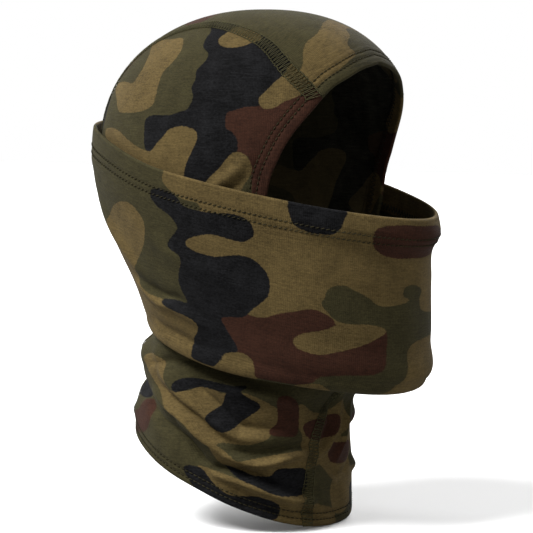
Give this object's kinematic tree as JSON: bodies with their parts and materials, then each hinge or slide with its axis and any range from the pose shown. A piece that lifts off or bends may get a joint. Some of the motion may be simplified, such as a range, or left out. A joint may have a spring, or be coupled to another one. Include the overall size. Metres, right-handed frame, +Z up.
{
  "type": "face mask",
  "caption": "Knitted camouflage balaclava: fitted hood with a full face opening and a loose cover that stands round the lower face and pulls down.",
  "frame": {"origin": "inside top of the crown, where the top of the wearer's head rests", "axes": "+Z up the wearer's head, -Y the way the face looks, -X towards the wearer's right ear"},
  "size_m": [0.163, 0.2147, 0.2921],
  "materials": {
    "camo_knit": "matt knitted polyester with a four-colour rounded camouflage print",
    "camo_hem": "the same knit turned and stitched double",
    "dark_thread": "matt dark sewing thread",
    "ladder_thread": "loose olive and black seam thread"
  },
  "bodies": {
    "hood": {"crown_panel": "camo_knit", "side_panel_right": "camo_knit", "side_panel_left": "camo_knit", "crown_seam_right": "ladder_thread", "crown_seam_left": "ladder_thread", "crown_needle_row_right": "dark_thread", "crown_needle_row_left": "dark_thread", "throat_seam": "ladder_thread", "brow_hem": "camo_hem", "face_hem_right": "camo_hem", "face_hem_left": "camo_hem", "face_hem_inner_row": "dark_thread", "face_hem_outer_row": "dark_thread", "face_hem_looper": "dark_thread", "neck_hem": "camo_hem", "neck_hem_lower_row": "dark_thread", "neck_hem_upper_row": "dark_thread", "neck_hem_looper": "dark_thread", "cover_join_seam": "dark_thread", "face_cover": "camo_knit"},
    "cover_band": {"cover_top_hem": "camo_hem", "cover_hem_upper_row": "dark_thread", "cover_hem_lower_row": "dark_thread", "cover_hem_looper": "dark_thread"}
  },
  "joints": [
    {"name": "cover_pull_down", "type": "slide", "parent": "hood", "child": "cover_band", "axis": [0, 0, -1], "range_m": [0, 0.07], "deforming": ["face_cover"]}
  ]
}
